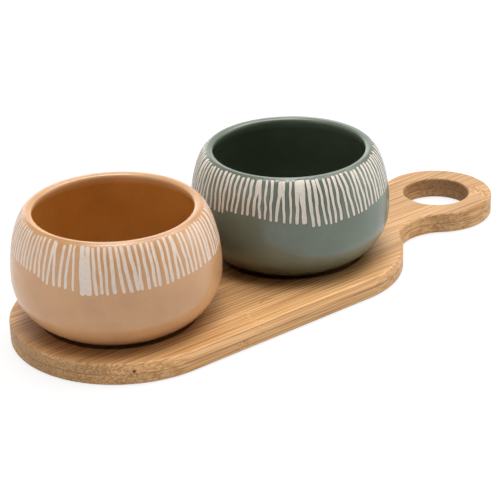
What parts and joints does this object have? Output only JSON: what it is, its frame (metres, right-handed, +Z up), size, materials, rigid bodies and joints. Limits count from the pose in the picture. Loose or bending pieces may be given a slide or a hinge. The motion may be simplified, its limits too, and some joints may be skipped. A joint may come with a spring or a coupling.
{
  "type": "chip and dip server",
  "caption": "Bamboo paddle board with a ring handle and round wells that hold two loose barrel-shaped stoneware dip bowls.",
  "frame": {"origin": "the underside of the board, at the middle of its length and width", "axes": "+X along the board towards its ring handle, +Y across it, +Z up out of the bowls"},
  "size_m": [0.36, 0.1356, 0.0815],
  "materials": {
    "bamboo": "laminated bamboo with a thin satin oil",
    "peach_glaze": "smooth satin peach glaze with a band of off-white stripes left below the lip",
    "sage_glaze": "smooth satin sage glaze with a band of cream stripes left below the lip"
  },
  "bodies": {
    "board": {"bottom_strip_back_1": "bamboo", "bottom_strip_back_1_tip": "bamboo", "bottom_strip_back_2": "bamboo", "bottom_strip_back_3": "bamboo", "bottom_strip_back_4": "bamboo", "bottom_strip_front_1": "bamboo", "bottom_strip_front_1_tip": "bamboo", "bottom_strip_front_2": "bamboo", "bottom_strip_front_3": "bamboo", "bottom_strip_front_4": "bamboo", "top_strip_back_1": "bamboo", "top_strip_back_2": "bamboo", "top_strip_back_2_ring": "bamboo", "top_strip_back_3": "bamboo", "top_strip_centre": "bamboo", "top_strip_centre_tip": "bamboo", "top_strip_front_1": "bamboo", "top_strip_front_2": "bamboo", "top_strip_front_2_ring": "bamboo", "top_strip_front_3": "bamboo"},
    "peach_bowl": {"peach_bowl": "peach_glaze"},
    "sage_bowl": {"sage_bowl": "sage_glaze"}
  },
  "joints": [
    {"name": "peach_bowl_lift", "type": "slide", "parent": "board", "child": "peach_bowl", "axis": [0, 0, 1], "range_m": [0, 0.1]},
    {"name": "sage_bowl_lift", "type": "slide", "parent": "board", "child": "sage_bowl", "axis": [0, 0, 1], "range_m": [0, 0.1]}
  ]
}
